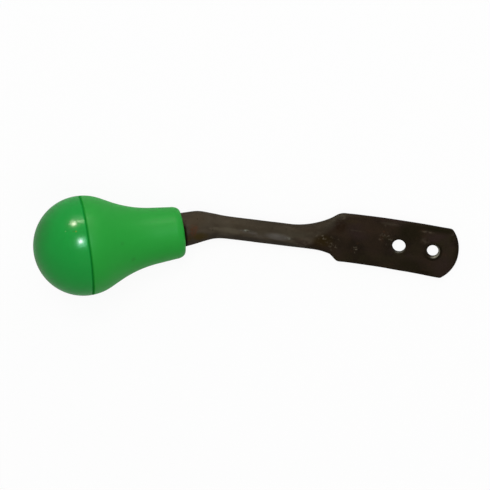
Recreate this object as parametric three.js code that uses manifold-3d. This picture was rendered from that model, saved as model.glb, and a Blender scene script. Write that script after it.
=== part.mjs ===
// A hand lever: one steel forging with a flat drilled blade at one end and, bolted onto
// its threaded stem at the other, a hollow plastic knob in two halves.
//
// Millimetres, +Z up. The origin lies on the blade's back face, midway between the two
// bolt holes. +X runs along the holes towards the blade's tip, so the knob is at -X;
// +Z is the blade's front normal.

import * as THREE from 'three';
import { mergeVertices } from 'three/addons/utils/BufferGeometryUtils.js';
import Module from 'manifold-3d';

const wasm = await Module();
wasm.setup();

// ---------------------------------------------------------------- driving dimensions

// blade
const bladeThickness = 4;
const bladeWidthAtShoulder = 24.35;
const bladeWidthAtEnd = 25.25;
const bladeOffset = -0.17; // blade's middle line, above the line of the holes
const bladeBow = 0.5; // how far both long edges bow towards +Y halfway along
const bladeEdgeBreak = 0.5;
const holePitch = 17;
const innerHoleDiameter = 6.8;
const outerHoleDiameter = 5.8;
const outerHoleChamfer = 0.85;
const tipReach = 21.4; // origin to the end of the blade
const tipRadius = 16.7;
const tipOffset = 0.5; // centre of the tip's arc, above the line of the holes
const tipCornerRadius = 2.1;

// shoulders, where the blade meets the rod
const shoulderReach = 38.9; // origin to the shoulders
const shoulderStagger = 1.1; // the upper one starts this much further from the tip
const upperShoulderAngle = 36.8;
const upperShoulderRadius = 7.4;
const lowerShoulderAngle = 43.5;
const lowerShoulderRadius = 3;

// rod, and the flare that flattens it into the blade
const rodDiameter = 11.2;
const rodOffset = -2.3; // rod's axis below the line of the holes, at the shoulders
const rodSlope = 1.36;
const rodLength = 59.8; // shoulders to the knee
const upperFlareLength = 25.1;
const lowerFlareLength = 12.6;
const thinningLength = 20;
const upperFlareRadius = 38.8;
const lowerFlareRadius = 30.6;
const upperFlareAngle = 31;
const lowerFlareAngle = 20;
const flareTuck = 0.8; // the upper flare ends this far inside the blade's edge
const flareBite = 1.5; // the flare runs this far into the blade
const rootTuck = 2.2; // the blade's root lies this far inside the rod's outline
const thinningRadius = 40;
const thinningAngle = 15;

// knee and boss
const kneeRadius = 28;
const kneeInPlaneAngle = 13.65; // knob's axis to the line of the holes, seen on the blade
const kneeLiftAngle = 13; // knob's axis rising out of the blade's plane
const kneeToMouth = 18.95;
const bossRise = 9.45; // boss above and below the knob's axis: it is forged off centre
const bossDrop = 7.65;
const bossDepth = 16.4;
const bossTopRun = 7.25; // mouth to where the upper side starts to fall to the rod
const bossTopTaper = 15.7;
const bossBottomRun = -1.9;
const bossBottomTaper = 18.3;
const bossSideRun = 2;
const bossSideTaper = 19.1;

// threaded stem and its fastening, to the sizes of an M10 nut and washers
const stemDiameter = 10;
const stemPointLength = 2; // stem that stands out of the nut
const stemPointChamfer = 1;
const nutAcrossFlats = 16;
const nutHeight = 8.4;
const nutChamferAngle = 30;
const flatWasherDiameter = 20;
const flatWasherThickness = 2;
const lockWasherDiameter = 18.1;
const lockWasherThickness = 2.2;
const lockWasherSplit = 1.6;
const lockWasherSplitAngle = 20;

// knob
const ballDiameter = 50;
const knobLength = 75; // pole to mouth
const knobWall = 2.8;
const flankAngle = 26.8; // where the ball runs out into the bell
const neckDraft = 6;
const neckBlendRadius = 57;
const mouthWall = 2.65;
const mouthDepth = 6; // recess that takes the boss
const lipRadius = 3;
const seatThickness = 4;
const seamOffset = 1.15; // seam from the ball's equator, towards the neck
const seamBreak = 0.25;

// inside the knob
const padHeight = 14; // ball's centre to the pad under the washers
const padThickness = 3;
const padMargin = 0.5;
const tubeWall = 3.2;
const ribCount = 6;
const ribThickness = 1.8;
const ribSetback = 4; // pad to the ends of the ribs
const spigotLength = 3.8; // collar of the body that the cap snaps over
const spigotWall = 1.8;
const collarRun = 3; // over which the collar thickens the body's wall behind the seam
const rimWall = 2.1; // cap's rim outside the spigot
const beadHeight = 0.45;
const beadWidth = 1.2;

// fits
const seatGap = 0.3; // between faces that touch
const stemClearance = 0.3; // radial, round the stem
const bossClearance = 0.5; // radial, round the boss
const snapClearance = 0.3; // radial, between the spigot and the cap

// facets
const turnedSegments = 48;
const smallSegments = 36;
const sectionPoints = 32;
const bossStep = 2;
const rodStep = 7;
const flareStep = 1.6;

// ---------------------------------------------------------------- colours

const steel = { color: 0x3a3027, roughness: 0.5, metalness: 0.7 };
const plastic = { color: 0x259635, roughness: 0.35, metalness: 0 };
const zinc = { color: 0x9a9da0, roughness: 0.35, metalness: 0.9 };

// ---------------------------------------------------------------- helpers

const radians = THREE.MathUtils.degToRad;
const sine = (angle) => Math.sin(radians(angle));
const cosine = (angle) => Math.cos(radians(angle));
const slopeOf = (angle) => Math.tan(radians(angle));

// a closed geometry as a solid; a profile turned the other way round is turned back
function solidOf(geometry) {
  geometry.deleteAttribute('normal');
  geometry.deleteAttribute('uv');
  const merged = mergeVertices(geometry, 1e-4);
  const position = merged.attributes.position;
  const corners = [new THREE.Vector3(), new THREE.Vector3(), new THREE.Vector3()];
  const triangles = [];
  let volume = 0;
  for (let i = 0; i < merged.index.count; i += 3) {
    const [a, b, c] = [0, 1, 2].map((k) => merged.index.getX(i + k));
    if (a === b || b === c || c === a) continue;
    triangles.push(a, b, c);
    corners.forEach((corner, k) => corner.fromBufferAttribute(position, [a, b, c][k]));
    volume += corners[0].dot(corners[1].cross(corners[2]));
  }
  if (volume < 0) triangles.reverse();
  const mesh = new wasm.Mesh({
    numProp: 3,
    vertProperties: Float32Array.from(position.array),
    triVerts: Uint32Array.from(triangles),
  });
  return new wasm.Manifold(mesh);
}

function geometryOf(solid) {
  const { vertProperties, triVerts } = solid.getMesh();
  const geometry = new THREE.BufferGeometry();
  geometry.setAttribute('position', new THREE.BufferAttribute(vertProperties, 3));
  geometry.setIndex(new THREE.BufferAttribute(triVerts, 1));
  geometry.computeVertexNormals();
  return geometry;
}

function piece(name, solid, finish) {
  const mesh = new THREE.Mesh(geometryOf(solid), new THREE.MeshStandardMaterial(finish));
  mesh.name = name;
  return mesh;
}

// turned about the Y axis: a path of radius (x) against height (y) that closes on itself
function turned(path, segments = turnedSegments, arcSteps = 6) {
  const points = path.getPoints(arcSteps);
  if (points[0].distanceTo(points.at(-1)) > 1e-6) points.push(points[0].clone());
  return solidOf(new THREE.LatheGeometry(points, segments));
}

// a washer-like ring from one height to another
function ring(innerRadius, outerRadius, low, high, segments = smallSegments) {
  const path = new THREE.Path();
  path.moveTo(innerRadius, low);
  path.lineTo(outerRadius, low);
  path.lineTo(outerRadius, high);
  path.lineTo(innerRadius, high);
  path.closePath();
  return turned(path, segments);
}

// how far a side has moved after a run: an arc that turns into a straight slope
function easedRamp(run, radius, angle) {
  if (run <= 0) return 0;
  const arcRun = radius * sine(angle);
  if (run < arcRun) return radius - Math.sqrt(radius * radius - run * run);
  return radius * (1 - cosine(angle)) + (run - arcRun) * slopeOf(angle);
}

const blended = (from, to, at, start, length) =>
  from + (to - from) * THREE.MathUtils.smoothstep(at, start, start + length);

// the corner where a line through point a meets a line through point b
function crossing(a, directionA, b, directionB) {
  const along = new THREE.Vector2().subVectors(b, a).cross(directionB);
  return directionA.clone().multiplyScalar(along / directionA.cross(directionB)).add(a);
}

// rounds a corner of a path that arrives from one point and leaves for another
function roundCorner(path, before, corner, after, radius) {
  const back = new THREE.Vector2().subVectors(before, corner).normalize();
  const ahead = new THREE.Vector2().subVectors(after, corner).normalize();
  const half = Math.acos(THREE.MathUtils.clamp(back.dot(ahead), -1, 1)) / 2;
  const reach = radius / Math.tan(half);
  const middle = back.clone().add(ahead).setLength(radius / Math.sin(half)).add(corner);
  const start = back.clone().multiplyScalar(reach).add(corner).sub(middle);
  const end = ahead.clone().multiplyScalar(reach).add(corner).sub(middle);
  const clockwise = start.cross(end) < 0;
  path.absarc(middle.x, middle.y, radius, start.angle(), end.angle(), clockwise);
}

// ---------------------------------------------------------------- the lever's frame

const rodRadius = rodDiameter / 2;
const ballRadius = ballDiameter / 2;
const mouthAt = knobLength - ballRadius; // heights here run from the ball's centre
const seatAt = mouthAt - mouthDepth;
const kneeAt = mouthAt + kneeToMouth;

const rodDirection = new THREE.Vector3(cosine(rodSlope), sine(rodSlope), 0);
const knobDirection = new THREE.Vector3(
  cosine(kneeLiftAngle) * cosine(kneeInPlaneAngle),
  cosine(kneeLiftAngle) * sine(kneeInPlaneAngle),
  -sine(kneeLiftAngle),
);
const rodEnd = new THREE.Vector3(-shoulderReach, rodOffset, bladeThickness / 2);
const knee = rodEnd.clone().addScaledVector(rodDirection, -rodLength);
const ballCentre = knee.clone().addScaledVector(knobDirection, -kneeAt);

// the arm's centre line, by the distance from the ball's centre: knob's axis, bend, rod
const kneeTurn = knobDirection.angleTo(rodDirection);
const kneeTangent = kneeRadius * Math.tan(kneeTurn / 2);
const bendStart = kneeAt - kneeTangent;
const bendEnd = bendStart + kneeRadius * kneeTurn;
const rodEndAt = bendEnd + rodLength - kneeTangent;

function centreLine(at) {
  if (at <= bendStart) {
    const point = ballCentre.clone().addScaledVector(knobDirection, at);
    return { point, direction: knobDirection.clone() };
  }
  if (at >= bendEnd) {
    const point = rodEnd.clone().addScaledVector(rodDirection, at - rodEndAt);
    return { point, direction: rodDirection.clone() };
  }
  const turn = (at - bendStart) / kneeRadius;
  const inwards = rodDirection.clone().projectOnPlane(knobDirection).normalize();
  const point = ballCentre.clone().addScaledVector(knobDirection, bendStart);
  point.addScaledVector(knobDirection, kneeRadius * Math.sin(turn));
  point.addScaledVector(inwards, kneeRadius * (1 - Math.cos(turn)));
  const direction = knobDirection.clone().multiplyScalar(Math.cos(turn));
  return { point, direction: direction.addScaledVector(inwards, Math.sin(turn)) };
}

// ---------------------------------------------------------------- lever arm

// half sizes of the arm's section: above, below and across its centre line
const bladeTopAtShoulder = bladeOffset + bladeWidthAtShoulder / 2;

function armSection(at) {
  const toShoulder = rodEndAt - at;
  const flare = (length, radius, angle) => easedRamp(length - toShoulder, radius, angle);
  const boss = (side, run, taper) => blended(side, rodRadius, at, mouthAt + run, taper);
  const upperFlare = flare(upperFlareLength, upperFlareRadius, upperFlareAngle);
  const riseLimit = bladeTopAtShoulder - rodOffset - flareTuck;
  return {
    rise: Math.min(boss(bossRise, bossTopRun, bossTopTaper) + upperFlare, riseLimit),
    drop:
      boss(bossDrop, bossBottomRun, bossBottomTaper) +
      flare(lowerFlareLength, lowerFlareRadius, lowerFlareAngle),
    half:
      boss(bossDepth / 2, bossSideRun, bossSideTaper) -
      flare(thinningLength, thinningRadius, thinningAngle),
  };
}

// one ring of the loft: a rounded bar whose round sides are as deep as the bar
function sectionRing(at) {
  const { point, direction } = centreLine(at);
  const across = new THREE.Vector3(0, 0, 1).projectOnPlane(direction).normalize();
  const upwards = across.clone().cross(direction);
  const { rise, drop, half } = armSection(at);
  const width = (rise + drop) / 2;
  const round = Math.min(width, half);
  return Array.from({ length: sectionPoints }, (_, k) => {
    const angle = ((k + 0.5) * 2 * Math.PI) / sectionPoints;
    const up = Math.sign(Math.cos(angle)) * (width - round) + round * Math.cos(angle);
    const out = Math.sign(Math.sin(angle)) * (half - round) + round * Math.sin(angle);
    const corner = point.clone().addScaledVector(upwards, up + (rise - drop) / 2);
    return corner.addScaledVector(across, out);
  });
}

const steps = (from, to, size) => {
  const count = Math.max(1, Math.round((to - from) / size));
  return Array.from({ length: count }, (_, k) => from + ((to - from) * k) / count);
};

// boss, knee, rod and flare in one loft, closed by flat ends
function shank() {
  const shoulderFace = seatAt + seatGap;
  const flareStart = rodEndAt - upperFlareLength;
  const loftEnd = rodEndAt + flareBite;
  const stations = [
    ...steps(shoulderFace, bendEnd, bossStep),
    ...steps(bendEnd, flareStart, rodStep),
    ...steps(flareStart, loftEnd, flareStep),
    loftEnd,
  ];
  const rings = stations.map(sectionRing);
  const points = rings.flat();
  const index = [];
  for (let r = 0; r + 1 < rings.length; r++) {
    for (let k = 0; k < sectionPoints; k++) {
      const [a, b] = [k, (k + 1) % sectionPoints].map((i) => r * sectionPoints + i);
      index.push(a, b, a + sectionPoints, b, b + sectionPoints, a + sectionPoints);
    }
  }
  for (const [ringNumber, flip] of [[0, true], [rings.length - 1, false]]) {
    const first = ringNumber * sectionPoints;
    const hub = points.length;
    const sum = rings[ringNumber].reduce((total, p) => total.add(p), new THREE.Vector3());
    points.push(sum.divideScalar(sectionPoints));
    for (let k = 0; k < sectionPoints; k++) {
      const [a, b] = [first + k, first + ((k + 1) % sectionPoints)];
      index.push(...(flip ? [hub, b, a] : [hub, a, b]));
    }
  }
  const geometry = new THREE.BufferGeometry().setFromPoints(points);
  geometry.setIndex(index);
  return solidOf(geometry);
}

// where a straight edge and the tip's arc are joined by a corner of the tip's own radius
function tipCorner(edgeFrom, edgeTo, arcCentre, side) {
  const along = new THREE.Vector2().subVectors(edgeTo, edgeFrom).normalize();
  const inwards = new THREE.Vector2(along.y, -along.x).multiplyScalar(side);
  const fromEdge = arcCentre.clone().sub(edgeFrom).dot(inwards) - tipCornerRadius;
  const foot = arcCentre.clone().addScaledVector(inwards, -fromEdge);
  const reach = Math.sqrt((tipRadius - tipCornerRadius) ** 2 - fromEdge ** 2);
  const centre = foot.addScaledVector(along, reach);
  return {
    centre,
    onEdge: centre.clone().addScaledVector(inwards, -tipCornerRadius),
    arcAngle: centre.clone().sub(arcCentre).angle(),
  };
}

// the flat blade; its root runs back inside the flare
function blade() {
  const top = (share, bow = 0) =>
    bladeOffset + THREE.MathUtils.lerp(bladeWidthAtShoulder, bladeWidthAtEnd, share) / 2 + bow;
  const bottom = (share, bow = 0) => 2 * bladeOffset - top(share) + bow;
  const upperShoulder = new THREE.Vector2(-shoulderReach - shoulderStagger / 2, top(0));
  const lowerShoulder = new THREE.Vector2(-shoulderReach + shoulderStagger / 2, bottom(0));
  const tipCentre = new THREE.Vector2(tipReach - tipRadius, tipOffset);
  const middle = (tipCentre.x - shoulderReach) / 2;
  const topControl = new THREE.Vector2(middle, top(0.5, 2 * bladeBow));
  const bottomControl = new THREE.Vector2(middle, bottom(0.5, 2 * bladeBow));
  const topEnd = new THREE.Vector2(tipCentre.x, top(1));
  const bottomEnd = new THREE.Vector2(tipCentre.x, bottom(1));
  const upper = tipCorner(topControl, topEnd, tipCentre, 1);
  const lower = tipCorner(bottomControl, bottomEnd, tipCentre, -1);

  const rootHalf = rodRadius - rootTuck;
  const rootPoint = (shoulder, angle, y) =>
    new THREE.Vector2(shoulder.x - Math.abs(y - shoulder.y) / slopeOf(angle), y);
  const upperRoot = rootPoint(upperShoulder, upperShoulderAngle, rodOffset + rootHalf);
  const lowerRoot = rootPoint(lowerShoulder, lowerShoulderAngle, rodOffset - rootHalf);

  const outline = new THREE.Shape();
  outline.moveTo(lowerRoot.x, lowerRoot.y);
  roundCorner(outline, lowerRoot, lowerShoulder, bottomControl, lowerShoulderRadius);
  outline.quadraticCurveTo(bottomControl.x, bottomControl.y, lower.onEdge.x, lower.onEdge.y);
  const lowerStart = lower.onEdge.clone().sub(lower.centre).angle();
  outline.absarc(
    lower.centre.x, lower.centre.y, tipCornerRadius, lowerStart, lower.arcAngle, false);
  outline.absarc(tipCentre.x, tipCentre.y, tipRadius, lower.arcAngle, upper.arcAngle, false);
  const upperEnd = upper.onEdge.clone().sub(upper.centre).angle();
  outline.absarc(
    upper.centre.x, upper.centre.y, tipCornerRadius, upper.arcAngle, upperEnd, false);
  const shoulderCurve = new THREE.Path();
  roundCorner(shoulderCurve, topControl, upperShoulder, upperRoot, upperShoulderRadius);
  const shoulderStart = shoulderCurve.getPoint(0);
  outline.quadraticCurveTo(topControl.x, topControl.y, shoulderStart.x, shoulderStart.y);
  roundCorner(outline, topControl, upperShoulder, upperRoot, upperShoulderRadius);
  outline.lineTo(upperRoot.x, upperRoot.y);
  outline.closePath();

  const geometry = new THREE.ExtrudeGeometry(outline, {
    depth: bladeThickness - 2 * bladeEdgeBreak,
    bevelThickness: bladeEdgeBreak,
    bevelSize: bladeEdgeBreak,
    bevelOffset: -bladeEdgeBreak,
    bevelSegments: 2,
    curveSegments: 10,
  });
  geometry.translate(0, 0, bladeEdgeBreak);
  return solidOf(geometry);
}

// a drill for one bolt hole, with a countersink at both faces where it has a chamfer
function drill(x, diameter, chamfer) {
  const overshoot = 1;
  const wide = diameter / 2 + chamfer + overshoot;
  const path = new THREE.Path();
  path.moveTo(0, -overshoot);
  path.lineTo(chamfer ? wide : diameter / 2, -overshoot);
  if (chamfer) path.lineTo(diameter / 2, chamfer);
  if (chamfer) path.lineTo(diameter / 2, bladeThickness - chamfer);
  path.lineTo(chamfer ? wide : diameter / 2, bladeThickness + overshoot);
  path.lineTo(0, bladeThickness + overshoot);
  path.closePath();
  return turned(path, smallSegments).rotate([90, 0, 0]).translate([x, 0, 0]);
}

// threaded stem, standing on the boss; its thread is left smooth here
function stem(pointAt) {
  const radius = stemDiameter / 2;
  const root = seatAt + seatGap + mouthDepth / 2;
  const path = new THREE.Path();
  path.moveTo(0, root);
  path.lineTo(radius, root);
  path.lineTo(radius, pointAt + stemPointChamfer);
  path.lineTo(radius - stemPointChamfer, pointAt);
  path.lineTo(0, pointAt);
  path.closePath();
  return turned(path, smallSegments);
}

// ---------------------------------------------------------------- knob

// points of the bell's side between two heights, at a depth below its outer surface: ball,
// straight flank, hollow blend and drafted neck
function bellSide(inset, from, to, arcSteps = 5) {
  const radius = ballRadius - inset;
  const flankStart = new THREE.Vector2(radius * cosine(flankAngle), radius * sine(flankAngle));
  const flank = new THREE.Vector2(-sine(flankAngle), cosine(flankAngle));
  const mouthRadius = bossRise + bossClearance + mouthWall - inset;
  const neckEnd = new THREE.Vector2(mouthRadius, mouthAt);
  const neck = new THREE.Vector2(-sine(neckDraft), cosine(neckDraft));
  const corner = crossing(flankStart, flank, neckEnd, neck);
  const path = new THREE.Path();
  path.absarc(0, 0, radius, Math.asin(Math.min(from / radius, 0)), radians(flankAngle), false);
  roundCorner(path, flankStart, corner, neckEnd, neckBlendRadius + inset);
  path.lineTo(neckEnd.x, neckEnd.y);
  const points = path.getPoints(arcSteps);
  const pointAt = (y) => {
    const k = points.findIndex((point) => point.y > y);
    const [low, high] = [points.at(k - 1), points.at(k)];
    return low.clone().lerp(high, (y - low.y) / (high.y - low.y));
  };
  const spacing = 0.2;
  const between = points.filter(({ y }) => y > from + spacing && y < to - spacing);
  return [pointAt(from), ...between, pointAt(to)];
}

const addLines = (path, points) => points.forEach((point) => path.lineTo(point.x, point.y));

const tubeRadius = stemDiameter / 2 + stemClearance + tubeWall;
const padRadius = flatWasherDiameter / 2 + padMargin;
const recessRadius = bossRise + bossClearance;
const rimInnerRadius = ballRadius - rimWall;
const spigotRadius = rimInnerRadius - snapClearance;
const spigotEnd = seamOffset - spigotLength;
const beadAt = seamOffset - spigotLength / 2;

// outer wall with its collar, seat and lip
function bellShell() {
  const bodyEdge = seamOffset + seatGap / 2;
  const cavityEnd = seatAt - seatThickness;
  const path = new THREE.Path();
  const edgeRadius = Math.sqrt(ballRadius ** 2 - bodyEdge ** 2);
  path.moveTo(spigotRadius, bodyEdge);
  path.lineTo(edgeRadius - seamBreak, bodyEdge);
  const side = bellSide(0, bodyEdge + seamBreak, mouthAt - lipRadius);
  const lip = side.at(-1);
  addLines(path, side);
  path.absarc(lip.x - lipRadius, lip.y, lipRadius, 0, Math.PI / 2, false);
  path.lineTo(recessRadius, mouthAt);
  path.lineTo(recessRadius, seatAt);
  path.lineTo(stemDiameter / 2 + stemClearance, seatAt);
  path.lineTo(stemDiameter / 2 + stemClearance, cavityEnd);
  addLines(path, bellSide(knobWall, seamOffset + collarRun, cavityEnd, 3).reverse());
  path.lineTo(spigotRadius - spigotWall, seamOffset);
  path.lineTo(spigotRadius - spigotWall, spigotEnd);
  path.lineTo(spigotRadius - snapClearance, spigotEnd);
  path.lineTo(spigotRadius, spigotEnd + snapClearance);
  path.lineTo(spigotRadius, beadAt - beadWidth / 2);
  path.lineTo(spigotRadius + beadHeight, beadAt);
  path.lineTo(spigotRadius, beadAt + beadWidth / 2);
  path.closePath();
  return turned(path, turnedSegments, 3);
}

// tube round the stem, widened into a pad under the washers
function stemTube() {
  const overlap = seatThickness / 2;
  const bore = stemDiameter / 2 + stemClearance;
  const path = new THREE.Path();
  path.moveTo(bore, padHeight);
  path.lineTo(padRadius, padHeight);
  path.lineTo(padRadius, padHeight + padThickness);
  path.lineTo(tubeRadius, padHeight + padThickness + (padRadius - tubeRadius));
  path.lineTo(tubeRadius, seatAt - overlap);
  path.lineTo(bore, seatAt - overlap);
  path.closePath();
  return turned(path, turnedSegments);
}

// one flat rib from the tube to the wall; it bites a little into both
function rib(turn) {
  const bite = 0.6;
  const inner = tubeRadius - bite;
  const low = padHeight + ribSetback;
  const outline = new THREE.Shape();
  outline.moveTo(inner, seatAt - seatThickness + bite);
  outline.lineTo(inner, low);
  addLines(outline, bellSide(knobWall - bite, low, seatAt - seatThickness + bite, 3));
  outline.closePath();
  const geometry = new THREE.ExtrudeGeometry(outline, {
    depth: ribThickness,
    bevelEnabled: false,
  });
  geometry.translate(0, 0, -ribThickness / 2);
  return solidOf(geometry.rotateY(turn));
}

function knobBody() {
  let body = bellShell().add(stemTube());
  for (let k = 0; k < ribCount; k++) body = body.add(rib((k * 2 * Math.PI) / ribCount));
  return body;
}

function knobCap() {
  const rim = seamOffset - seatGap / 2;
  const edgeRadius = Math.sqrt(ballRadius ** 2 - rim ** 2);
  const ledge = spigotEnd - seatGap;
  const hollow = ballRadius - knobWall;
  const grooveHalf = beadWidth / 2 + snapClearance;
  const path = new THREE.Path();
  path.absarc(0, 0, ballRadius, -Math.PI / 2, Math.asin((rim - seamBreak) / ballRadius), false);
  path.lineTo(edgeRadius - seamBreak, rim);
  path.lineTo(rimInnerRadius, rim);
  path.lineTo(rimInnerRadius, beadAt + grooveHalf);
  path.lineTo(rimInnerRadius + beadHeight, beadAt);
  path.lineTo(rimInnerRadius, beadAt - grooveHalf);
  path.lineTo(rimInnerRadius, ledge);
  path.absarc(0, 0, hollow, Math.asin(ledge / hollow), -Math.PI / 2, true);
  path.closePath();
  return turned(path);
}

// ---------------------------------------------------------------- fastening

const flatWasherTop = padHeight - seatGap;
const lockWasherTop = flatWasherTop - flatWasherThickness - seatGap;
const nutTop = lockWasherTop - lockWasherThickness - seatGap;
const nutBottom = nutTop - nutHeight;
const stemBore = stemDiameter / 2 + stemClearance;

function flatWasher() {
  const low = flatWasherTop - flatWasherThickness;
  return ring(stemBore, flatWasherDiameter / 2, low, flatWasherTop);
}

// the ring is cut through on a slant
function lockWasher() {
  const low = lockWasherTop - lockWasherThickness;
  const body = ring(stemBore, lockWasherDiameter / 2, low, lockWasherTop);
  const slot = new THREE.BoxGeometry(lockWasherDiameter, 3 * lockWasherThickness, lockWasherSplit);
  slot.rotateX(radians(lockWasherSplitAngle));
  slot.translate(lockWasherDiameter / 2, lockWasherTop - lockWasherThickness / 2, 0);
  return body.subtract(solidOf(slot));
}

// hexagon with its corners turned off at both faces
function nut() {
  const cornerRadius = nutAcrossFlats / 2 / cosine(30);
  const rise = (cornerRadius - nutAcrossFlats / 2) * slopeOf(nutChamferAngle);
  const hexagon = new THREE.CylinderGeometry(cornerRadius, cornerRadius, nutHeight, 6);
  hexagon.translate(0, nutTop - nutHeight / 2, 0);
  const overshoot = 0.1;
  const path = new THREE.Path();
  path.moveTo(stemBore, nutBottom);
  path.lineTo(nutAcrossFlats / 2, nutBottom);
  path.lineTo(cornerRadius + overshoot, nutBottom + rise);
  path.lineTo(cornerRadius + overshoot, nutTop - rise);
  path.lineTo(nutAcrossFlats / 2, nutTop);
  path.lineTo(stemBore, nutTop);
  path.closePath();
  return solidOf(hexagon).intersect(turned(path, smallSegments));
}

// ---------------------------------------------------------------- assembly

const lever = new THREE.Group();

// everything turned about the knob's axis stands in this group: Y up the axis to the arm
const knob = new THREE.Group();
knob.position.copy(ballCentre);
const acrossKnob = new THREE.Vector3(0, 0, 1).projectOnPlane(knobDirection).normalize();
const upKnob = knobDirection.clone().cross(acrossKnob);
knob.setRotationFromMatrix(new THREE.Matrix4().makeBasis(upKnob, knobDirection, acrossKnob));
knob.updateMatrix();

function leverArm() {
  const stemInPlace = stem(nutBottom - stemPointLength).transform(knob.matrix.toArray());
  return shank()
    .add(blade())
    .add(stemInPlace)
    .subtract(drill(-holePitch / 2, innerHoleDiameter, 0))
    .subtract(drill(holePitch / 2, outerHoleDiameter, outerHoleChamfer));
}

lever.add(piece('lever_arm', leverArm(), steel));
knob.add(piece('knob_body', knobBody(), plastic));
knob.add(piece('knob_cap', knobCap(), plastic));
knob.add(piece('flat_washer', flatWasher(), zinc));
knob.add(piece('spring_lock_washer', lockWasher(), zinc));
knob.add(piece('retaining_nut', nut(), zinc));
lever.add(knob);

export default lever;
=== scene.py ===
import math

import bmesh
import bpy
from mathutils import Matrix, Vector, noise


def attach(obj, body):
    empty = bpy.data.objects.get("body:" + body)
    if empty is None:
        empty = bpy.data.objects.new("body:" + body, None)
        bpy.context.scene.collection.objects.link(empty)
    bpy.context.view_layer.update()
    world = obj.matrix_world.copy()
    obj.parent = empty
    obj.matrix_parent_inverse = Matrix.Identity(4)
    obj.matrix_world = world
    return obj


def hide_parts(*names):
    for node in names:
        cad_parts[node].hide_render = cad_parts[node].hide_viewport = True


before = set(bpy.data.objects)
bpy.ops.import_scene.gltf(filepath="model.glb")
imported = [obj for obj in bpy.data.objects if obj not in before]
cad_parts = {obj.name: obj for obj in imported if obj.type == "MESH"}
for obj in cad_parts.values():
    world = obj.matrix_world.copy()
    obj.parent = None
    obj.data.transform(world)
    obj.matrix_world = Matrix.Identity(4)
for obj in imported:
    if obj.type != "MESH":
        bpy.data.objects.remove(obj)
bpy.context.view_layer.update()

mm = 0.001
scene = bpy.context.scene


def meshObject(name, bm, material):
    mesh = bpy.data.meshes.new(name)
    bm.to_mesh(mesh)
    bm.free()
    for face in mesh.polygons:
        face.use_smooth = True
    mesh.materials.append(material)
    obj = bpy.data.objects.new(name, mesh)
    scene.collection.objects.link(obj)
    return obj


def arcPoints(centre, radius, start, end, count):
    step = (end - start) / count
    return [(centre[0] + radius * math.cos(math.radians(start + step * i)),
             centre[1] + radius * math.sin(math.radians(start + step * i)))
            for i in range(count + 1)]


# a closed profile of (radius, height) in mm, spun about the height axis
def spun(profile, place, turnSteps):
    bm = bmesh.new()
    verts = [bm.verts.new((r * mm, 0, h * mm)) for r, h in profile]
    edges = [bm.edges.new((a, b)) for a, b in zip(verts, verts[1:] + verts[:1])]
    bmesh.ops.spin(bm, geom=verts + edges, cent=(0, 0, 0), axis=(0, 0, 1),
                   angle=2 * math.pi, steps=turnSteps, use_merge=True)
    bmesh.ops.remove_doubles(bm, verts=bm.verts, dist=1e-7)
    bmesh.ops.recalc_face_normals(bm, faces=bm.faces)
    if bm.calc_volume(signed=True) < 0:  # a hollow piece may come out turned inside out
        bmesh.ops.reverse_faces(bm, faces=bm.faces)
    bm.transform(place)
    return bm


def newMaterial(name):
    material = bpy.data.materials.new(name)
    material.use_nodes = True
    nodes = material.node_tree.nodes
    nodes.clear()
    out = nodes.new("ShaderNodeOutputMaterial")
    shader = nodes.new("ShaderNodeBsdfPrincipled")
    material.node_tree.links.new(shader.outputs["BSDF"], out.inputs["Surface"])
    return material, shader


# short ways to add nodes; a value is a number, a colour or another node's socket
class Tree:
    def __init__(self, tree):
        self.tree = tree

    def node(self, kind, **settings):
        made = self.tree.nodes.new("ShaderNode" + kind)
        for key, value in settings.items():
            setattr(made, key, value)
        return made

    def feed(self, socket, value):
        if isinstance(value, bpy.types.NodeSocket):
            self.tree.links.new(value, socket)
        else:
            socket.default_value = value

    def math(self, operation, a, b=0.0):
        made = self.node("Math", operation=operation)
        self.feed(made.inputs[0], a)
        self.feed(made.inputs[1], b)
        return made.outputs[0]

    def times(self, a, b):
        return self.math("MULTIPLY", a, b)

    def vector(self, operation, a, b=(0, 0, 0)):
        made = self.node("VectorMath", operation=operation)
        self.feed(made.inputs[0], a)
        self.feed(made.inputs[1], b)
        return made.outputs

    def remap(self, value, low, high, toLow=0.0, toHigh=1.0):
        made = self.node("MapRange", interpolation_type="SMOOTHSTEP")
        for socket, given in zip(made.inputs, (value, low, high, toLow, toHigh)):
            self.feed(socket, given)
        return made.outputs[0]

    def mix(self, share, a, b):
        made = self.node("Mix", data_type="RGBA")
        self.feed(made.inputs["Factor"], share)
        self.feed(made.inputs[6], a)
        self.feed(made.inputs[7], b)
        return made.outputs[2]

    def noise(self, vector, scale, detail, roughness=0.5):
        made = self.node("TexNoise")
        self.feed(made.inputs["Vector"], vector)
        self.feed(made.inputs["Scale"], scale)
        made.inputs["Detail"].default_value = detail
        made.inputs["Roughness"].default_value = roughness
        return made.outputs["Fac"]

    def stretched(self, vector, scale, angle):
        made = self.node("Mapping")
        self.feed(made.inputs["Vector"], vector)
        made.inputs["Scale"].default_value = scale
        made.inputs["Rotation"].default_value = (0, 0, math.radians(angle))
        return made.outputs["Vector"]

    def bump(self, height, strength, distance, normal=None):
        made = self.node("Bump")
        made.inputs["Strength"].default_value = strength
        made.inputs["Distance"].default_value = distance
        self.feed(made.inputs["Height"], height)
        if normal is not None:
            self.feed(made.inputs["Normal"], normal)
        return made.outputs["Normal"]

    def objectPlace(self):
        return self.node("TexCoord").outputs["Object"]

    def split(self, vector):
        made = self.node("SeparateXYZ")
        self.feed(made.inputs[0], vector)
        return made.outputs

    def mask(self, group, **values):
        used = self.node("Group", node_tree=group)
        for key, value in values.items():
            self.feed(used.inputs[key], value)
        return used.outputs["Mask"]


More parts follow.
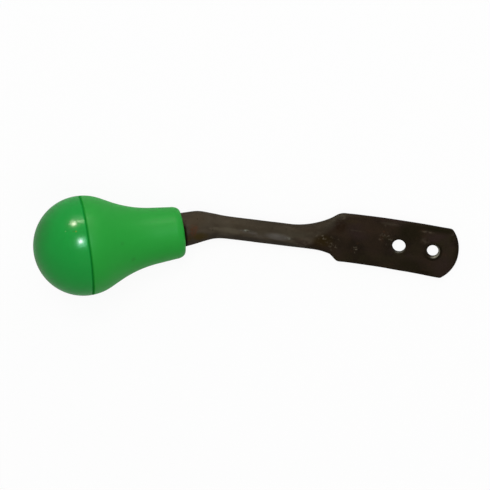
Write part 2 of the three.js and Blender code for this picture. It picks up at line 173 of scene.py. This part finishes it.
# the effects that several materials share; each group puts out one mask
def newGroup(name, **inputs):
    made = bpy.data.node_groups.new(name, "ShaderNodeTree")
    for label, kind in inputs.items():
        made.interface.new_socket(label, in_out="INPUT", socket_type="NodeSocket" + kind)
    made.interface.new_socket("Mask", in_out="OUTPUT", socket_type="NodeSocketFloat")
    given = made.nodes.new("NodeGroupInput").outputs
    mask = made.nodes.new("NodeGroupOutput").inputs["Mask"]
    return made, Tree(made), given, mask


# a mask along convex edges, broken up by noise: wear on the plastics, painted shade on the arm
def makeEdgeWearAndShade():
    made, t, given, mask = newGroup("edgeWearAndShade", Vector="Vector", Low="Float", High="Float")
    sharp = t.node("NewGeometry").outputs["Pointiness"]
    edge = t.remap(sharp, given["Low"], given["High"])
    broken = t.remap(t.noise(given["Vector"], 420, 5), 0.38, 0.62)
    t.feed(mask, t.times(edge, broken))
    return made


# soft patches of one noise, cut between two levels
def makePatches():
    made, t, given, mask = newGroup("patches", Vector="Vector", Scale="Float", Low="Float",
                                    High="Float")
    cloud = t.noise(given["Vector"], given["Scale"], 5, 0.6)
    t.feed(mask, t.remap(cloud, given["Low"], given["High"]))
    return made


# one soft-edged oval at a given place
def makeSpot():
    made, t, given, mask = newGroup("spot", Vector="Vector", Centre="Vector", Size="Vector")
    away = t.vector("SUBTRACT", given["Vector"], given["Centre"])[0]
    scaled = t.vector("DIVIDE", away, given["Size"])[0]
    reach = t.vector("LENGTH", scaled)["Value"]
    t.feed(mask, t.remap(reach, 0.3, 1.0, 1.0, 0.0))
    return made


edgeWearAndShade = makeEdgeWearAndShade()
patches = makePatches()
spot = makeSpot()

# where the knob stands: the same sizes as the solids, in mm and degrees
lever = {
    "shoulderReach": 38.9, "rodOffset": -2.3, "middle": 2.0, "rodSlope": 1.36,
    "rodLength": 59.8, "inPlane": 13.65, "lift": 13.0, "kneeToMouth": 18.95,
}
knob = {
    "ball": 25.0, "length": 75.0, "wall": 2.8, "flank": 26.8, "draft": 6.0, "blend": 57.0,
    "mouthRadius": 12.6, "recessRadius": 9.95, "mouthDepth": 6.0, "lipRun": 4.6,
    "innerLip": 0.35, "seat": 4.0, "bore": 5.3, "tube": 8.5, "pad": 10.5, "padAt": 14.0,
    "padThick": 3.0, "padCone": 2.0, "seam": 1.15, "gap": 0.09, "grooveHalf": 0.5,
    "bodyGroove": 0.02, "capGroove": 0.15, "spigot": 22.6, "spigotWall": 1.8,
    "spigotEnd": -2.65, "spigotEdge": 0.3, "collarRun": 3.0, "rim": 22.9,
    "seamRun": 2.0, "seamStep": 0.1,
}
mouthAt = knob["length"] - knob["ball"]  # from the ball's centre


def knobPlace():
    flat, lift = math.radians(lever["inPlane"]), math.radians(lever["lift"])
    slope = math.radians(lever["rodSlope"])
    axis = Vector((math.cos(lift) * math.cos(flat), math.cos(lift) * math.sin(flat),
                   -math.sin(lift)))
    rod = Vector((math.cos(slope), math.sin(slope), 0))
    knee = Vector((-lever["shoulderReach"], lever["rodOffset"], lever["middle"]))
    knee -= rod * lever["rodLength"]
    centre = knee - axis * (mouthAt + lever["kneeToMouth"])
    across = (Vector((0, 0, 1)) - axis * axis.z).normalized()
    turn = Matrix((across, axis.cross(across), axis)).transposed().to_4x4()
    return Matrix.Translation(centre * mm) @ turn


knobMatrix = knobPlace()

# stains and painted shades: centre and half size in mm, colour, strength
bellPlastic = {
    "green": (0.013, 0.283, 0.029, 1), "deep": (0.011, 0.258, 0.026, 1),
    # the darker green here and the seam share below are painted shade along the seam
    "pale": (0.05, 0.36, 0.075, 1), "seamShadeColour": (0.002, 0.1, 0.007, 1),
    "rough": 0.36, "shine": 0.33, "seamShade": 0.48,
    "stainsAndShades": [((-143.7, -11.7, 31.9), 1.5, (0.012, 0.17, 0.02, 1), 0.3),
               ((-137.5, -20.1, 27.7), 1.7, (0.014, 0.17, 0.02, 1), 0.35),
               ((-140.5, -18, 30), 0.6, (0.02, 0.16, 0.02, 1), 0.3)],
}
capPlastic = {
    "green": (0.005, 0.273, 0.034, 1), "deep": (0.004, 0.246, 0.03, 1),
    # the darker green here and the seam share below are painted shade along the seam
    "pale": (0.05, 0.36, 0.075, 1), "seamShadeColour": (0.0015, 0.085, 0.006, 1),
    "rough": 0.205, "shine": 0.3, "seamShade": 0.6,
    # painted shade: the ball darker on its left side, and darker, olive green on its lower-left
    # rim
    "stainsAndShades": [((-188.5, -15.5, 17.3), 24, (0.006, 0.15, 0.012, 1), 0.6),
               ((-183.6, -34.4, 22.1), 15, (0.05, 0.21, 0.03, 1), 0.5),
               ((-166.6, -7.1, 39.1), 0.65, (0.16, 0.22, 0.02, 1), 0.7),
               ((-167.9, -7.5, 38.9), 0.4, (0.05, 0.1, 0.01, 1), 0.6),
               ((-171.8, -8.1, 38.3), 0.55, (0.1, 0.36, 0.09, 1), 0.5),
               ((-169.8, -6.2, 38.2), 0.35, (0.12, 0.3, 0.05, 1), 0.4)],
}
# what both halves share: shares of each effect, and distances from the seam in mm
plasticWear = {
    "clouds": 0.35, "cloudRough": 0.03, "scuffs": 0.35, "scuffRough": 0.25, "scuffDull": 0.15,
    # the seam distances, the upper side's share and the dullness belong to the painted seam
    # shade
    "edges": 0.3, "edgesFrom": (1.0, 3.0), "seamShadeTo": (0.3, 0.95), "upperSideShare": 0.55,
    "seamShadeDull": 0.1, "brokenOver": 5,
}


# how far a point is from a plane square to the knob's axis, at height mm from the ball
def fromHeight(t, where, height):
    axis = knobMatrix.col[2].to_3d()
    start = knobMatrix.translation.dot(axis) + height * mm
    reach = t.vector("DOT_PRODUCT", where, axis)["Value"]
    return t.math("ABSOLUTE", t.math("SUBTRACT", reach, start))


def greenPlastic(name, plastic):
    wear = plasticWear
    material, shader = newMaterial(name)
    t = Tree(material.node_tree)
    where = t.objectPlace()
    cloudy = t.mask(patches, Vector=where, Scale=38.0, Low=0.3, High=0.7)
    colour = t.mix(t.times(cloudy, wear["clouds"]), plastic["green"], plastic["deep"])

    scratches = t.noise(t.stretched(where, (30, 260, 260), 14), 1.0, 6, 0.7)
    scuffed = t.times(t.remap(scratches, 0.66, 0.78),
                      t.mask(patches, Vector=where, Scale=60.0, Low=0.5, High=0.7))
    colour = t.mix(t.times(scuffed, wear["scuffs"]), colour, plastic["pale"])

    fromSeam = fromHeight(t, where, knob["seam"])
    worn = t.times(t.mask(edgeWearAndShade, Vector=where, Low=0.53, High=0.6),
                   t.remap(fromSeam, *(d * mm for d in wear["edgesFrom"])))
    colour = t.mix(t.times(worn, wear["edges"]), colour, plastic["pale"])

    # painted shade along the seam, stronger on the lower side
    seamShadeMask = t.times(t.remap(fromSeam, *(d * mm for d in wear["seamShadeTo"]), 1.0, 0.0),
                   t.remap(t.noise(where, 700, 3), 0.3, 0.7, 0.8, 1.0))
    seamShadeShare = t.remap(t.split(where)[1], -0.036, 0.004, plastic["seamShade"],
                        plastic["seamShade"] * wear["upperSideShare"])
    colour = t.mix(t.times(seamShadeMask, seamShadeShare), colour, plastic["seamShadeColour"])

    for centre, size, markColour, share in plastic["stainsAndShades"]:
        markMask = t.mask(spot, Vector=where, Centre=[c * mm for c in centre],
                         Size=[size * mm] * 3)
        if size > wear["brokenOver"]:
            broken = t.remap(t.noise(where, 150, 4), 0.3, 0.6, 0.5, 1.0)
            markMask = t.times(markMask, broken)
        colour = t.mix(t.times(markMask, share), colour, markColour)
    t.feed(shader.inputs["Base Color"], colour)

    rough = t.math("ADD", t.times(cloudy, wear["cloudRough"]), plastic["rough"])
    t.feed(shader.inputs["Roughness"],
           t.math("ADD", rough, t.times(scuffed, wear["scuffRough"])))
    shader.inputs["Specular IOR Level"].default_value = 0.0
    shader.inputs["Coat Roughness"].default_value = plastic["rough"]
    shine = t.math("SUBTRACT", plastic["shine"], t.times(scuffed, wear["scuffDull"]))
    t.feed(shader.inputs["Coat Weight"],
           t.times(shine, t.remap(seamShadeMask, 0.0, 0.8, 1.0, wear["seamShadeDull"])))
    wavy = t.bump(t.noise(where, 90, 2), 0.12, 0.0004)
    grain = t.bump(t.noise(where, 900, 3), 0.05, 0.00003, wavy)
    t.feed(shader.inputs["Normal"], grain)
    return material


forged = {
    "dark": (0.0125, 0.0088, 0.0058, 1), "brown": (0.0245, 0.0157, 0.0099, 1),
    "plum": (0.0238, 0.0148, 0.0124, 1), "olive": (0.0197, 0.0152, 0.0076, 1),
    "russet": (0.0168, 0.0093, 0.0054, 1), "tan": (0.046, 0.031, 0.0185, 1),
    "coolReflection": (0.0285, 0.026, 0.023, 1), "shade": (0.0108, 0.0084, 0.0042, 1),
    "umber": (0.0205, 0.0125, 0.0036, 1), "ochre": (0.042, 0.0285, 0.008, 1),
    "rod": (0.0345, 0.0275, 0.019, 1), "worn": (0.0615, 0.0482, 0.0335, 1),
    "rubbedAndSheen": (0.088, 0.077, 0.068, 1), "sand": (0.083, 0.068, 0.048, 1),
    "rust": (0.07, 0.026, 0.0115, 1), "bareAndGlint": (0.17, 0.16, 0.13, 1),
    "black": (0.0055, 0.0045, 0.0017, 1),
}

# oval marks seen on the arm, in mm: centre, half size, colour, strength
marks = [
    ((-107, -8, 11), (7, 3.2, 6), "ochre", 0.9),
    ((-110.7, -4.8, 13), (3.4, 4.4, 5), "rust", 0.75),
    ((-113, -9, 13), (2.5, 3, 5), "ochre", 0.8),
    ((-110, 5, 12), (9, 11, 9), "tan", 0.6),
    ((-88, -1.1, 8), (14, 1.9, 3), "brown", 0.4),
    ((-72, -1, 8), (13, 2, 3), "brown", 0.27),
    # painted highlight: the streak along the middle of the rod, in sand, rubbed and bare colours
    ((-101, -3.4, 8.6), (6, 1.2, 2), "sand", 0.6),
    ((-93.5, -3.7, 7.6), (10, 2, 2), "sand", 0.55),
    ((-84, -2.9, 7.4), (6, 1.3, 2), "rubbedAndSheen", 0.55),
    ((-79, -4, 7.4), (6, 1.8, 2), "rubbedAndSheen", 0.3),
    ((-69, -3.3, 7.5), (8.5, 2.4, 3), "rubbedAndSheen", 0.75),
    ((-63.8, -3.3, 7.5), (2, 1, 2), "bareAndGlint", 0.45),
    ((-84.8, -2.3, 7.4), (1.6, 0.6, 2), "bareAndGlint", 0.35),
    ((-56, -4.5, 7), (6, 2.6, 3), "plum", 0.7),
    ((-51, -6.5, 6), (6, 2, 4), "olive", 0.5),
    ((-46.5, -2.4, 5.6), (7.5, 4.4, 5), "umber", 0.82),
    ((-38.8, 6.4, 4), (4.6, 6, 2), "russet", 0.95),
    ((-52, 1, 6), (8, 5, 5), "brown", 0.32),
    ((-37.9, 10.6, 4), (1.8, 1.6, 2), "worn", 0.7),
    ((-31, 9, 4), (5, 1.6, 2), "ochre", 0.4),
    ((-29, 5, 4), (8.5, 7, 2), "plum", 0.9),
    ((-30, 4.8, 4), (6, 0.45, 2), "worn", 0.3),
    ((-23, 7, 4), (10, 6, 2), "brown", 0.8),
    ((-20, -3, 4), (7, 8, 2), "brown", 0.5),
    ((-14, 10.8, 4), (7, 1.2, 2), "worn", 0.3),
    ((-17.5, 6.5, 4), (5.5, 3.5, 2), "brown", 0.8),
    ((-16.6, 9.6, 4), (0.9, 0.6, 2), "worn", 0.45),
    ((-16.8, 6.3, 4), (0.7, 0.6, 2), "rust", 0.35),
    ((-3.6, 8.6, 4), (9.6, 8, 3), "shade", 0.85),
    ((-1, -9.5, 4), (11, 6, 3), "shade", 0.75),
    ((6, -11.6, 4), (6, 2, 3), "black", 0.7),
    ((0, -1, 4), (4, 7, 3), "olive", 0.4),
    ((10, 12.2, 4), (15, 3.8, 3), "shade", 1.0),
    ((19, 7.5, 4), (3.5, 5, 3), "black", 0.7),
    ((4.6, 9.4, 4), (4.4, 0.75, 2), "worn", 0.75),
    ((4.2, 4.6, 4), (3, 2.3, 2), "worn", 0.4),
    ((8.5, 6.6, 4), (5.5, 2.2, 2), "plum", 0.95),
    ((17, 10.3, 4), (1.2, 1.3, 2), "worn", 0.55),
    ((14, -4, 4), (7, 9, 3), "plum", 0.5),
]
broadMark = 6.5  # marks longer than this have a softer edge

# places with many small flecks of lighter scale, in mm: centre, half size
fleckPlaces = [((-47, -1, 6), (5, 4, 4)), ((-41, -3, 4.5), (4, 5, 3)),
               ((-15.5, 2.5, 4), (4.5, 4.5, 2)), ((-30, -5, 4), (2, 2.6, 2))]

# painted highlight round a bolt hole, a pale metal crescent on its lit side, in mm: place on X,
# inner and outer edge, softness, strength, and how the lit side leans across and down the blade
rims = {
    "outer": {"at": 8.5, "edges": (2.0, 3.5, 0.25), "share": 1.0, "lean": (1, 0.3)},
    "inner": {"at": -8.5, "edges": (2.0, 3.4, 0.2), "share": 0.55, "lean": (0.7, 0.7)},
}
# painted shadow: a dark ring round the outer hole, on its lower right side
rimShadowRing = (3.9, 4.6, 0.5)  # dark ring round the outer hole


def forgedSteel():
    material, shader = newMaterial("forgedSteel")
    t = Tree(material.node_tree)
    where = t.objectPlace()
    x, y = t.split(where)[:2]

    def tinted(colour, mask, share, name):
        return t.mix(t.times(mask, share), colour, forged[name])

    def oval(centre, size):
        return t.mask(spot, Vector=where, Centre=[c * mm for c in centre],
                      Size=[c * mm for c in size])

    def mottle(scale, stretch, angle, low, high):
        return t.mask(patches, Vector=t.stretched(where, stretch, angle), Scale=scale,
                      Low=low, High=high)

    # scale of the blade
    colour = t.mix(mottle(75.0, (0.7, 1, 1), 0, 0.36, 0.66), forged["dark"], forged["brown"])
    colour = tinted(colour, mottle(60.0, (0.8, 1.2, 1), 35, 0.48, 0.62), 0.75, "plum")
    colour = tinted(colour, mottle(95.0, (0.7, 1.1, 1), 70, 0.5, 0.64), 0.7, "olive")
    colour = tinted(colour, t.remap(y, 0.004, -0.008), 0.3, "dark")
    colour = tinted(colour, t.remap(x, 0.018, 0.0225), 0.8, "black")

    # the rod and boss, paler from handling
    streaks = t.remap(t.noise(t.stretched(where, (0.25, 1, 1), 2), 330, 5, 0.6), 0.3, 0.68)
    handled = t.mix(streaks, forged["rod"], forged["worn"])
    handled = tinted(handled, mottle(85.0, (0.5, 1, 1), 20, 0.5, 0.66), 0.4, "rubbedAndSheen")
    # painted shade: the rod's upper side darker
    topShade = t.remap(t.math("ADD", y, t.times(x, -0.05)), 0.0002, 0.0022)
    handled = tinted(handled, topShade, 0.8, "rod")
    handled = tinted(handled, t.remap(x, -0.07, -0.1), 0.55, "worn")
    # painted reflection: a cool grey tone along the rod's underside
    handled = tinted(handled, t.remap(y, -0.0045, -0.007), 0.5, "coolReflection")
    handled = tinted(handled, mottle(190.0, (0.6, 1, 1), 8, 0.5, 0.68), 0.3, "brown")
    handled = tinted(handled, mottle(230.0, (0.5, 1, 1), 4, 0.54, 0.7), 0.28, "sand")
    held = t.times(t.remap(t.math("SUBTRACT", x, y), -0.0452, -0.0502),
                   t.remap(t.noise(where, 110, 5), 0.28, 0.66, 0.8, 1.0))
    colour = t.mix(held, colour, handled)

    small = t.remap(t.noise(where, 520, 5, 0.65), 0.34, 0.6)
    broad = t.remap(t.noise(where, 300, 4, 0.6), 0.3, 0.56, 0.72, 1.0)
    glintMarks = []
    for centre, size, name, share in marks:
        mark = t.times(oval(centre, size), broad if max(size) > broadMark else small)
        colour = tinted(colour, mark, share, name)
        if name == "bareAndGlint":
            glintMarks.append(mark)

    fine = t.noise(t.stretched(where, (0.8, 1, 1), 20), 820, 4, 0.6)
    flecks = t.remap(fine, 0.555, 0.64)
    for centre, size in fleckPlaces:
        colour = tinted(colour, t.times(oval(centre, size), flecks), 0.75, "sand")
    colour = tinted(colour, mottle(150.0, (1, 1, 1), 10, 0.6, 0.78), 0.2, "rust")
    colour = tinted(colour, t.remap(fine, 0.68, 0.76), 0.3, "worn")
    # painted shade: the arm's convex edges darkened towards black
    sharp = t.mask(edgeWearAndShade, Vector=where, Low=0.56, High=0.64)
    colour = tinted(colour, sharp, 0.6, "black")
    # a painted shadow ring, then painted highlights on the hole rims
    litRim, dark = holeRims(t, x, y)
    colour = tinted(colour, dark, 0.7, "black")
    colour = tinted(colour, litRim, 0.75, "bareAndGlint")
    # painted shadow of the knob's lip on the boss
    colour = tinted(colour, mouthShadow(t, where, y), 0.9, "black")
    t.feed(shader.inputs["Base Color"], colour)

    # the painted highlights on the hole rims and the rod streak are also made more metallic
    bareAndGlint = litRim
    for mark in glintMarks:
        bareAndGlint = t.math("MAXIMUM", bareAndGlint, mark)
    t.feed(shader.inputs["Metallic"], t.remap(bareAndGlint, 0, 1, 0.1, 0.5))
    shader.inputs["Specular IOR Level"].default_value = 0.0
    t.feed(shader.inputs["Roughness"], t.remap(t.noise(where, 160, 5), 0.3, 0.7, 0.56, 0.72))
    scale = t.bump(t.noise(where, 260, 6, 0.6), 0.45, 0.0003)
    t.feed(shader.inputs["Normal"], t.bump(t.noise(where, 1500, 3), 0.25, 0.00008, scale))
    return material


# painted highlight on the lit side of the rims of the two bolt holes, and a painted shadow ring
# round the outer one
def holeRims(t, x, y):
    def band(distance, edges):
        inner, outer, soft = edges
        return t.times(t.remap(distance, (inner - soft) * mm, inner * mm),
                       t.remap(distance, outer * mm, (outer + soft) * mm, 1.0, 0.0))

    def reach(at):
        off = t.math("SUBTRACT", x, at * mm)
        return t.math("SQRT", t.math("ADD", t.times(off, off), t.times(y, y)))

    def litSide(at, lean):
        across, down = lean
        slant = t.math("SUBTRACT", t.times(t.math("SUBTRACT", x, at * mm), across),
                       t.times(y, down))
        return t.remap(slant, -0.0006, 0.0024)

    litRim = 0.0
    for rim in rims.values():
        metal = t.times(band(reach(rim["at"]), rim["edges"]), rim["share"])
        litRim = t.math("MAXIMUM", litRim, t.times(metal, litSide(rim["at"], rim["lean"])))
    shadowSide = t.remap(t.math("SUBTRACT", x, y), 0.002, 0.012)
    return litRim, t.times(band(reach(rims["outer"]["at"]), rimShadowRing), shadowSide)


# painted shadow on the boss where it enters the knob's mouth, on its lower side
def mouthShadow(t, where, y):
    near = t.remap(fromHeight(t, where, mouthAt), 0.0008, 0.0019, 1.0, 0.0)
    return t.times(near, t.remap(y, -0.0005, -0.0045))


zincPlate = {"bright": (0.5, 0.51, 0.52, 1), "dull": (0.34, 0.33, 0.31, 1)}


def zincSteel():
    material, shader = newMaterial("zincSteel")
    t = Tree(material.node_tree)
    where = t.objectPlace()
    dull = t.mask(patches, Vector=where, Scale=180.0, Low=0.4, High=0.65)
    t.feed(shader.inputs["Base Color"], t.mix(dull, zincPlate["bright"], zincPlate["dull"]))
    shader.inputs["Metallic"].default_value = 1.0
    t.feed(shader.inputs["Roughness"], t.remap(t.noise(where, 400, 4), 0.3, 0.7, 0.28, 0.45))
    t.feed(shader.inputs["Normal"], t.bump(t.noise(where, 2200, 3), 0.15, 0.00006))
    return material


bellGreen = greenPlastic("bellPlastic", bellPlastic)
capGreen = greenPlastic("capPlastic", capPlastic)
steel = forgedSteel()
zinc = zincSteel()
print("materials made")


# how finely each stretch of the knob's profile is divided, and the turn
steps = {"turn": 200, "side": 110, "wall": 40, "ball": 96, "hollow": 40, "lip": 18,
         "innerLip": 5}


# the bell's side: ball, straight flank, hollow blend, drafted neck; inset goes inwards
def bellSide(inset, start, end, count):
    radius = knob["ball"] - inset
    flank = math.radians(knob["flank"])
    draft = math.radians(knob["draft"])
    blend = knob["blend"] + inset
    flankStart = Vector((radius * math.cos(flank), radius * math.sin(flank)))
    slide = Vector((-math.sin(flank), math.cos(flank)))
    neckEnd = Vector((knob["mouthRadius"] - inset, mouthAt))
    neck = Vector((-math.sin(draft), math.cos(draft)))
    gap = neckEnd - flankStart
    reach = (gap.x * neck.y - gap.y * neck.x) / (slide.x * neck.y - slide.y * neck.x)
    corner = flankStart + slide * reach
    tangent = blend * math.tan((flank - draft) / 2)
    first, last = corner - slide * tangent, corner + neck * tangent
    hub = first + Vector((slide.y, -slide.x)) * blend

    def radiusAt(h):
        if h < flankStart.y:
            return math.sqrt(radius ** 2 - h ** 2)
        if h < first.y:
            return flankStart.x + (h - flankStart.y) * slide.x / slide.y
        if h < last.y:
            return hub.x - math.sqrt(blend ** 2 - (h - hub.y) ** 2)
        return neckEnd.x + (h - neckEnd.y) * neck.x / neck.y

    heights = [start + (end - start) * i / count for i in range(count + 1)]
    return [(radiusAt(h), h) for h in heights]


# the side next to the seam; it sinks a little towards it, as on mouldings
def seamSide(edge, sign, groove):
    points = []
    for i in range(round(knob["seamRun"] / knob["seamStep"]) - 1):
        h = edge + sign * knob["seamStep"] * i
        off = (h - knob["seam"]) / knob["grooveHalf"]
        points.append((math.sqrt(knob["ball"] ** 2 - h ** 2) - groove * math.exp(-off * off), h))
    return points


def makeKnobBody():
    seatAt = mouthAt - knob["mouthDepth"]
    ceiling = seatAt - knob["seat"]
    padTop = knob["padAt"] + knob["padThick"]
    edge = knob["seam"] + knob["gap"] / 2
    recess = knob["recessRadius"]
    spigot, spigotEnd = knob["spigot"], knob["spigotEnd"]
    spigotHollow = spigot - knob["spigotWall"]

    # outside, from the seam to the mouth
    side = bellSide(0, edge + knob["seamRun"], mouthAt - knob["lipRun"], steps["side"])
    profile = [(spigot, edge)] + seamSide(edge, 1, knob["bodyGroove"]) + side
    lipEdge = recess + knob["innerLip"]
    lipDepth = side[-1][0] - lipEdge
    profile += [(lipEdge + lipDepth * x, mouthAt - knob["lipRun"] * (1 - y))
                for x, y in arcPoints((0, 0), 1, knob["draft"], 90, steps["lip"])][:-1]
    profile += arcPoints((lipEdge, mouthAt - knob["innerLip"]), knob["innerLip"], 90, 180,
                         steps["innerLip"])

    # inside: recess, bore, pad, tube, wall and the collar that the cap snaps over
    profile += [(recess, seatAt), (knob["bore"], seatAt), (knob["bore"], knob["padAt"]),
                (knob["pad"], knob["padAt"]), (knob["pad"], padTop),
                (knob["tube"], padTop + knob["padCone"]), (knob["tube"], ceiling)]
    wallFrom = knob["seam"] + knob["collarRun"]
    profile += bellSide(knob["wall"], wallFrom, ceiling, steps["wall"])[::-1]
    profile += [(spigotHollow, knob["seam"]), (spigotHollow, spigotEnd),
                (spigot - knob["spigotEdge"], spigotEnd),
                (spigot, spigotEnd + knob["spigotEdge"])]
    return meshObject("knobBody", spun(profile, knobMatrix, steps["turn"]), bellGreen)


def makeKnobCap():
    edge = knob["seam"] - knob["gap"] / 2
    ball, hollow = knob["ball"], knob["ball"] - knob["wall"]
    ledge = knob["spigotEnd"] - knob["spigotEdge"]
    top = math.degrees(math.asin((edge - knob["seamRun"]) / ball))
    hollowTop = math.degrees(math.asin(ledge / hollow))
    profile = arcPoints((0, 0), ball, -90, top, steps["ball"])
    profile += seamSide(edge, -1, knob["capGroove"])[::-1]
    profile += [(knob["rim"], edge), (knob["rim"], ledge)]
    profile += arcPoints((0, 0), hollow, hollowTop, -90, steps["hollow"])
    return meshObject("knobCap", spun(profile, knobMatrix, steps["turn"]), capGreen)


knobBody = makeKnobBody()
knobCap = makeKnobCap()
print("knob made", len(knobBody.data.polygons), len(knobCap.data.polygons))

# the forging: even faces, edges softened, fine dents; sizes in metres
arm = {"voxel": 0.00034, "smooth": 2, "grow": 0.00005, "dent": 0.00006, "dentScale": 120.0}


def makeLeverArm():
    bm = bmesh.new()
    bm.from_mesh(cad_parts["lever_arm"].data)
    bmesh.ops.remove_doubles(bm, verts=bm.verts, dist=1e-6)
    rough = meshObject("leverRough", bm, steel)
    remesh = rough.modifiers.new("remesh", "REMESH")
    remesh.mode = "VOXEL"
    remesh.voxel_size = arm["voxel"]
    bpy.context.view_layer.update()
    made = bpy.data.meshes.new_from_object(
        rough.evaluated_get(bpy.context.evaluated_depsgraph_get()))
    bpy.data.objects.remove(rough)

    bm = bmesh.new()
    bm.from_mesh(made)
    for _ in range(arm["smooth"]):
        bmesh.ops.smooth_vert(bm, verts=bm.verts, factor=0.5, use_axis_x=True,
                              use_axis_y=True, use_axis_z=True)
    bm.normal_update()
    moves = [(v, v.normal * (arm["grow"] + arm["dent"] * noise.noise(v.co * arm["dentScale"])))
             for v in bm.verts]
    for v, move in moves:
        v.co += move
    return meshObject("leverArm", bm, steel)


leverArm = makeLeverArm()
print("arm made", len(leverArm.data.polygons))

for piece, node, slot in ((knobBody, "knob_body", "green_plastic"),
                          (knobCap, "knob_cap", "green_plastic"),
                          (leverArm, "lever_arm", "forged_steel")):
    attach(piece, "root")
    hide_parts(node)

# the washers and the nut keep the solids' own meshes
for name in ("flat_washer", "spring_lock_washer", "retaining_nut"):
    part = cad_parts[name]
    part.data.materials.clear()
    part.data.materials.append(zinc)

# the plane on which the lever settles, under the ball, the knob's lip and the rod
ground = {"height": -2.06 * mm, "slopeX": 0.0261, "slopeY": 0.0658, "half": 4.0,
          "colour": (0.9, 0.9, 0.9, 1), "cloudy": (0.88, 0.88, 0.88, 1), "white": 0.93}


# 1 for the rays that see the background: straight, in gloss and through glass
def backgroundRay(t):
    path = t.node("LightPath")
    seen = t.math("MAXIMUM", path.outputs["Is Camera Ray"], path.outputs["Is Glossy Ray"])
    return t.math("MAXIMUM", seen, path.outputs["Is Transmission Ray"])


def paleFloor():
    material, shader = newMaterial("paleFloor")
    t = Tree(material.node_tree)
    shader.inputs["Roughness"].default_value = 0.9
    shader.inputs["Specular IOR Level"].default_value = 0.1
    t.feed(shader.inputs["Base Color"],
           t.mix(t.noise(t.objectPlace(), 3, 2), ground["colour"], ground["cloudy"]))
    glow = t.node("Emission")
    glow.inputs["Strength"].default_value = 1.0

    def blend(share, first, second):
        made = t.node("MixShader")
        for socket, value in zip(made.inputs, (share, first, second)):
            t.feed(socket, value)
        return made.outputs[0]

    lit = blend(t.times(backgroundRay(t), ground["white"]), shader.outputs["BSDF"],
                glow.outputs[0])
    above = blend(t.node("NewGeometry").outputs["Backfacing"], lit,
                  t.node("BsdfTransparent").outputs[0])  # from below the floor isn't there
    out = material.node_tree.nodes["Material Output"]
    t.feed(out.inputs["Surface"], above)
    return material


def makeFloor():
    bm = bmesh.new()
    bmesh.ops.create_grid(bm, x_segments=8, y_segments=8, size=ground["half"])
    for v in bm.verts:
        v.co.z = ground["height"] + ground["slopeX"] * v.co.x + ground["slopeY"] * v.co.y
    meshObject("floor", bm, paleFloor())


makeFloor()
print("floor made")

# fitted to the photograph's outline, seam and holes; focal length in frame widths
view = {"place": (-0.022668, 0.435004, 1.696575), "turn": (-14.34001, 4.05337, 7.53922),
        "focal": 3500 / 490, "sensor": 36, "near": 0.05, "far": 50}

camera = bpy.data.objects.new("camera", bpy.data.cameras.new("camera"))
camera.data.sensor_width = view["sensor"]
camera.data.lens = view["sensor"] * view["focal"]
camera.data.clip_start = view["near"]
camera.data.clip_end = view["far"]
camera.location = view["place"]
camera.rotation_euler = [math.radians(a) for a in view["turn"]]
scene.collection.objects.link(camera)
scene.camera = camera
bpy.context.view_layer.update()

# each lamp is placed by its direction from the ball, in the camera's own axes
lamps = {
    "key": {"right": 25, "up": 32, "away": 1.8, "size": (0.9, 0.9), "watts": 4,
            "colour": (1.0, 1.0, 1.0), "gloss": False},
    "roof": {"right": 15, "up": 78, "away": 1.8, "size": (1.6, 1.6), "watts": 20,
             "colour": (0.97, 0.99, 1.0)},
    "front": {"right": -3, "up": 12, "away": 1.8, "size": (0.6, 0.6), "watts": 13,
              "colour": (0.97, 0.99, 1.0), "gloss": False},
    "flash": {"right": -3.2, "up": 9.6, "away": 1.7, "size": (0.12, 0.12), "watts": 22,
              "colour": (0.93, 0.9, 1.0), "diffuse": False},
    "haze": {"right": -1, "up": 7, "away": 1.7, "size": (0.6, 0.6), "watts": 20,
             "colour": (0.4, 1.0, 0.85), "diffuse": False},
    "low": {"right": 12, "up": -32, "away": 1.8, "size": (1.2, 1.2), "watts": 6,
            "colour": (1.0, 0.97, 0.92), "gloss": False},
    "strip": {"right": -19, "up": 56, "away": 1.4, "size": (0.8, 0.05), "watts": 10,
              "colour": (1.0, 0.9, 0.72), "diffuse": False},
    "bulb": {"right": -27.5, "up": 49, "away": 1.4, "size": (0.09, 0.07), "watts": 12,
             "colour": (1.0, 0.92, 0.74), "diffuse": False},
}


def makeLamps():
    axes = camera.matrix_world.to_3x3()
    ball = knobMatrix.translation
    for name, lamp in lamps.items():
        data = bpy.data.lights.new(name, "AREA")
        data.shape = "RECTANGLE"
        data.size, data.size_y = lamp["size"]
        data.energy = lamp["watts"]
        data.color = lamp["colour"]
        right, up = math.radians(lamp["right"]), math.radians(lamp["up"])
        way = axes @ Vector((math.sin(right) * math.cos(up), math.sin(up),
                             math.cos(right) * math.cos(up)))
        side = (axes.col[0] - way * way.dot(axes.col[0])).normalized()
        obj = bpy.data.objects.new(name, data)
        obj.location = ball + way * lamp["away"]
        obj.rotation_euler = Matrix((side, way.cross(side), way)).transposed().to_euler()
        obj.visible_glossy = lamp.get("gloss", True)
        obj.visible_diffuse = lamp.get("diffuse", True)
        scene.collection.objects.link(obj)


makeLamps()

# how strongly the surround lights the lever, and how white it is where it is seen
surround = {"light": 0.34, "seen": 1.0}


def makeWorld():
    world = bpy.data.worlds.new("world")
    scene.world = world
    world.use_nodes = True
    t = Tree(world.node_tree)
    background = world.node_tree.nodes["Background"]
    background.inputs["Color"].default_value = (1, 1, 1, 1)
    t.feed(background.inputs["Strength"],
           t.remap(backgroundRay(t), 0, 1, surround["light"], surround["seen"]))


makeWorld()
scene.view_settings.view_transform = "Standard"
print("camera and lamps made")

print("scene made")
